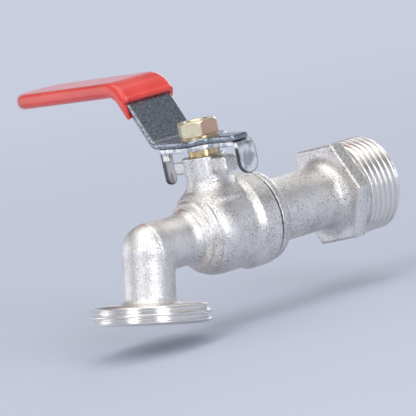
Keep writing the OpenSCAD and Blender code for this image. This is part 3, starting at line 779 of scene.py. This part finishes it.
def blasted_nickel():
    """Blasted and plated forging, with dark pits, and painted shade in the seam between chamber and adapter.
    """
    look = Look("blasted_nickel")
    grain = look.noise(3.0, 1.5, 0.6)
    cloud = look.noise(0.16, 4.0, 0.6)
    base = look.mix(look.span(cloud, 0.35, 0.65, 0, 1), srgb(233, 229, 224), srgb(246, 243, 239))
    # Pits between the blasted grains, thicker in some places than in others and faint on the spout
    x = look.axes()["X"]
    spout, chamber = -73.0, -64.0
    pits = look.span(grain, 0.33, 0.50, 1.0, 0.0)
    pits = look.math("MULTIPLY", pits, look.span(cloud, 0.38, 0.62, 0.95, 0.35))
    pits = look.math("MULTIPLY", pits, look.span(x, spout, chamber, 0.5, 1.0))
    colour = look.mix(pits, base, srgb(112, 110, 109))
    # Painted shade in the seam, which lies just short of the rim's end
    off = look.math("ABSOLUTE", look.math("ADD", x, INLET_REACH - SEAM_X + 0.05))
    colour = look.mix(look.span(off, 0.2, 0.5, 0.9, 0.0), colour, srgb(58, 56, 55))
    rough = look.span(grain, 0.35, 0.65, 0.44, 0.29)
    low = look.bump(look.noise(0.7, 2.0, 0.5), 0.25, 0.25)
    return look.finish(colour, rough, look.bump(grain, 0.8, 0.17, low), Metallic=1.0)


def turned_nickel():
    """Bright threads, with fine lines from turning."""
    look = Look("turned_nickel")
    lines = look.noise(1.0, 3.0, 0.6, look.stretched(9.0, 0.4, 0.4))
    colour = look.mix(look.span(lines, 0.35, 0.65, 0, 1), srgb(236, 233, 229), srgb(252, 249, 245))
    rough = look.span(look.noise(0.8, 3.0), 0.3, 0.7, 0.16, 0.27)
    return look.finish(colour, rough, look.bump(lines, 0.25, 0.03), Metallic=1.0)


def brass(name, light, dark, low, high):
    """Blotched brass, between two tones and two roughnesses."""
    look = Look(name)
    blotch = look.noise(0.7, 4.0, 0.6)
    colour = look.mix(look.span(blotch, 0.3, 0.7, 0, 1), dark, light)
    rough = look.span(look.noise(1.6, 3.0), 0.3, 0.7, low, high)
    return look.finish(colour, rough, look.bump(look.noise(3.5, 3.0), 0.25, 0.05), Metallic=1.0)


def nut_brass():
    """Pale brass, with a painted pinkish reflection, a little darker, on the face that points to -Y."""
    look = Look("nut_brass")
    face = look.node("ShaderNodeVectorMath", operation="DOT_PRODUCT")
    a = math.radians(270 + NUT_TURN)
    face.inputs[1].default_value = (math.cos(a), math.sin(a), 0)
    look.link(look.mm, face.inputs[0])
    at_face = NUT_AF / 2 - INLET_REACH * math.cos(a)
    blotch = look.span(look.noise(0.9, 4.0, 0.6), 0.3, 0.7, 0, 1)
    tone = look.mix(blotch, srgb(218, 204, 168), srgb(242, 234, 206))
    # Painted pinkish reflection on the face that points to -Y
    pink_reflection = look.span(face.outputs["Value"], at_face - 0.10, at_face - 0.04, 0.0, 0.75)
    colour = look.mix(pink_reflection, tone, srgb(214, 168, 146))
    rough = look.span(look.noise(1.6, 3.0), 0.3, 0.7, 0.26, 0.38)
    return look.finish(colour, rough, look.bump(look.noise(3.5, 3.0), 0.25, 0.05), Metallic=1.0)


def arm_edge(look, at, shape):
    """1 along the cut edge of one of the plate's arms, 0 away from it: where the dark reflection is painted.
    """
    middle, half, foot = shape
    across = look.math("ADD", at["X"], INLET_REACH - middle)
    below = look.math("MINIMUM", look.math("SUBTRACT", at["Z"], foot + half), 0.0)
    square = look.math("ADD", look.math("MULTIPLY", across, across), look.math("MULTIPLY", below, below))
    reach = look.math("SQRT", square)
    return look.math("MULTIPLY", look.span(reach, half - 0.55, half - 0.15, 0.0, 0.9),
                     look.span(reach, half + 0.25, half + 0.4, 1.0, 0.0))


def plated_sheet():
    """Bright plated sheet, satin and slightly streaked from pressing."""
    look = Look("plated_sheet")
    streak = look.noise(0.42, 2.0, 0.5, look.stretched(1.0, 1.0, 0.6))
    fine = look.noise(3.2, 2.0, 0.6)
    base = look.mix(look.span(streak, 0.40, 0.56, 0, 1), srgb(184, 186, 190), srgb(246, 245, 244))
    colour = look.mix(look.span(fine, 0.30, 0.42, 0.5, 0.0), base, srgb(70, 72, 76))
    # Painted dark reflection along the edges of the two arms, below the plate
    at = look.axes()
    rear = look.span(at["Y"], -1.0, 1.0, 0.0, 1.0)
    edge = look.math("ADD", look.math("MULTIPLY", arm_edge(look, at, REAR_ARM), rear),
                     look.math("MULTIPLY", arm_edge(look, at, FRONT_ARM), look.math("SUBTRACT", 1.0, rear)))
    edge = look.math("MULTIPLY", edge, look.span(at["Z"], PLATE_LOW - 0.7, PLATE_LOW, 1.0, 0.0))
    colour = look.mix(edge, colour, srgb(52, 54, 58))
    normal = look.bump(fine, 0.35, 0.06, look.bump(look.noise(0.25, 1.0), 0.12, 0.12))
    return look.finish(colour, look.span(fine, 0.3, 0.7, 0.40, 0.30), normal, Metallic=1.0)


def zinc_sheet():
    """Zinc-plated sheet with its spangle and a fine pale frost."""
    look = Look("zinc_sheet")
    light, dark = srgb(182, 188, 196), srgb(106, 112, 120)
    spangle = look.noise(1.7, 4.0, 0.6)
    fine = look.noise(4.5, 2.0, 0.7)
    base = look.mix(look.span(spangle, 0.32, 0.68, 0, 1), dark, light)
    colour = look.mix(look.span(fine, 0.55, 0.75, 0, 0.5), base, light)
    rough = look.span(fine, 0.3, 0.7, 0.20, 0.34)
    normal = look.bump(fine, 0.30, 0.05, look.bump(spangle, 0.15, 0.10))
    return look.finish(colour, rough, normal, Metallic=1.0)


def vinyl():
    """Soft red dip with a glossy, slightly wavy skin and fine pores."""
    look = Look("dipped_vinyl")
    soft = look.noise(0.10, 3.0, 0.5)
    colour = look.mix(look.span(soft, 0.35, 0.65, 0, 1), srgb(220, 50, 42), srgb(234, 68, 56))
    wave = look.noise(0.35, 2.0, 0.4)
    pores = look.noise(4.0, 2.0, 0.5)
    normal = look.bump(pores, 0.06, 0.05, look.bump(wave, 0.30, 0.20))
    rough = look.span(pores, 0.3, 0.7, 0.38, 0.48)
    return look.finish(colour, rough, normal, Subsurface_Weight=0.15, Subsurface_Scale=0.0015,
                       Coat_Weight=0.75, Coat_Roughness=0.12, IOR=1.5)


def plain(name, light, dark, low, high, metallic=0.0):
    """Evenly coloured piece from inside the tap, with a little variation."""
    look = Look(name)
    colour = look.mix(look.span(look.noise(0.6, 3.0), 0.3, 0.7, 0, 1), dark, light)
    rough = look.span(look.noise(2.0, 3.0), 0.3, 0.7, low, high)
    return look.finish(colour, rough, look.bump(look.noise(5.0, 2.0), 0.2, 0.03), Metallic=metallic)


LOOKS = {
    "blasted": blasted_nickel(),
    "turned": turned_nickel(),
    "stem": brass("stem_brass", srgb(240, 220, 176), srgb(206, 174, 116), 0.18, 0.30),
    "nut": nut_brass(),
    "zinc": zinc_sheet(),
    "plated": plated_sheet(),
    "vinyl": vinyl(),
    "ball": plain("chromed_ball", srgb(225, 226, 228), srgb(205, 206, 210), 0.06, 0.12, 1.0),
    "seat": plain("seat_plastic", srgb(238, 237, 230), srgb(224, 222, 214), 0.4, 0.55),
    "rubber": plain("seal_rubber", srgb(34, 34, 34), srgb(22, 22, 23), 0.55, 0.7),
}

PIECE_LOOKS = (
    (shell, "blasted"), (adapter, "blasted"), (inlet_thread, "turned"), (outlet_thread, "turned"),
    (lever, "zinc"), (grip, "vinyl"), (plate, "plated"), (nut, "nut"),
)
NODE_LOOKS = (
    ("ball", "ball"), ("outlet_seat", "seat"), ("inlet_seat", "seat"), ("adapter_seal", "rubber"),
    ("stem", "stem"), ("thrust_washer", "seat"), ("lower_stem_seal", "rubber"),
    ("upper_stem_seal", "rubber"), ("nut_washer", "stem"),
)
for obj, name in PIECE_LOOKS:
    obj.data.materials.append(LOOKS[name])
for node, name in NODE_LOOKS:
    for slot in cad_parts[node].material_slots:
        slot.material = LOOKS[name]


# Floor, which fades out into the background

BACKGROUND = srgb(200, 206, 222)
FLOOR_DROP, FLOOR_R, FLOOR_SIDES = 0.004, 0.72, 64
FADE_START, FADE_END = 0.12, 0.7

floor_z = cad_box[0].z - FLOOR_DROP
turns = [i * 2 * math.pi / FLOOR_SIDES for i in range(FLOOR_SIDES)]
ring = [(math.cos(a) * FLOOR_R, math.sin(a) * FLOOR_R, floor_z) for a in turns]
floor_mesh = bpy.data.meshes.new("floor")
floor_mesh.from_pydata(ring, [], [tuple(range(FLOOR_SIDES))])
floor = bpy.data.objects.new("floor", floor_mesh)
bpy.context.scene.collection.objects.link(floor)

ground = bpy.data.materials.new("floor")
ground.use_nodes = True
ground_tree = ground.node_tree
dull = ground_tree.nodes["Principled BSDF"]
dull.inputs["Base Color"].default_value = BACKGROUND
dull.inputs["Roughness"].default_value = 0.9
dull.inputs["Specular IOR Level"].default_value = 0.0
clear = ground_tree.nodes.new("ShaderNodeBsdfTransparent")
fade = ground_tree.nodes.new("ShaderNodeMixShader")
where = ground_tree.nodes.new("ShaderNodeTexCoord")
far = ground_tree.nodes.new("ShaderNodeVectorMath")
far.operation = "LENGTH"
reach = ground_tree.nodes.new("ShaderNodeMapRange")
reach.inputs["From Min"].default_value = FADE_START
reach.inputs["From Max"].default_value = FADE_END
ground_tree.links.new(where.outputs["Object"], far.inputs[0])
ground_tree.links.new(far.outputs["Value"], reach.inputs["Value"])
ground_tree.links.new(reach.outputs["Result"], fade.inputs[0])
ground_tree.links.new(dull.outputs[0], fade.inputs[1])
ground_tree.links.new(clear.outputs[0], fade.inputs[2])
ground_tree.links.new(fade.outputs[0], ground_tree.nodes["Material Output"].inputs["Surface"])
floor_mesh.materials.append(ground)


# World: soft light, but the camera and reflections see the background, a dull band and a bright zenith

LIGHT_COLOUR, LIGHT_STRENGTH = (0.86, 0.86, 0.87, 1), 0.56
# Colours by the height of the direction, from 0 at the horizon to 1 straight up
SKY = ((0.18, BACKGROUND), (0.60, srgb(118, 121, 127)),
       (0.80, srgb(174, 176, 182)), (0.91, srgb(255, 255, 255)))

world = bpy.data.worlds.new("studio")
bpy.context.scene.world = world
world.use_nodes = True
world_tree = world.node_tree
lit = world_tree.nodes["Background"]
lit.inputs["Color"].default_value = LIGHT_COLOUR
lit.inputs["Strength"].default_value = LIGHT_STRENGTH
seen = world_tree.nodes.new("ShaderNodeBackground")
sky = world_tree.nodes.new("ShaderNodeTexCoord")
up = world_tree.nodes.new("ShaderNodeSeparateXYZ")
ramp = world_tree.nodes.new("ShaderNodeValToRGB")
ramp.color_ramp.interpolation = "EASE"
# A new ramp has two stops
for at, _ in SKY[2:]:
    ramp.color_ramp.elements.new(at)
for stop, (at, colour) in zip(ramp.color_ramp.elements, SKY):
    stop.position = at
    stop.color = colour
world_tree.links.new(sky.outputs["Generated"], up.inputs[0])
world_tree.links.new(up.outputs["Z"], ramp.inputs[0])
world_tree.links.new(ramp.outputs["Color"], seen.inputs["Color"])
path = world_tree.nodes.new("ShaderNodeLightPath")
blend = world_tree.nodes.new("ShaderNodeMixShader")
rays = path.outputs["Is Camera Ray"]
for kind in ("Is Glossy Ray", "Is Transmission Ray"):
    either = world_tree.nodes.new("ShaderNodeMath")
    either.operation = "MAXIMUM"
    world_tree.links.new(rays, either.inputs[0])
    world_tree.links.new(path.outputs[kind], either.inputs[1])
    rays = either.outputs[0]
world_tree.links.new(rays, blend.inputs[0])
world_tree.links.new(lit.outputs[0], blend.inputs[1])
world_tree.links.new(seen.outputs[0], blend.inputs[2])
world_tree.links.new(blend.outputs[0], world_tree.nodes["World Output"].inputs["Surface"])


# Lamps, aimed at the stem

AIM = Vector((-INLET_REACH / 1000, 0.0, 0.0))


def lamp(name, right, up, back, width, height, watts):
    """Soft box, placed from the aim point along the camera's own directions, in metres."""
    light = bpy.data.lights.new(name, "AREA")
    light.shape = "RECTANGLE"
    light.size, light.size_y = width, height
    light.energy = watts
    obj = bpy.data.objects.new(name, light)
    bpy.context.scene.collection.objects.link(obj)
    obj.location = AIM + CAM_RIGHT * right + CAM_UP * up + CAM_BACK * back
    obj.rotation_mode = "QUATERNION"
    obj.rotation_quaternion = (AIM - obj.location).to_track_quat("-Z", "Y")


lamp("top", -0.10, 1.00, 0.10, 1.1, 0.8, 2.45)
lamp("front_left", -0.64, 0.40, 0.80, 0.40, 1.3, 3.7)
lamp("front_right", 0.40, 0.28, 0.95, 0.26, 1.0, 4.3)
lamp("left", -1.00, 0.10, -0.30, 0.6, 0.9, 1.4)
lamp("rear", 0.30, 0.50, -0.90, 0.7, 0.4, 1.5)

bpy.context.scene.view_settings.view_transform = "Standard"
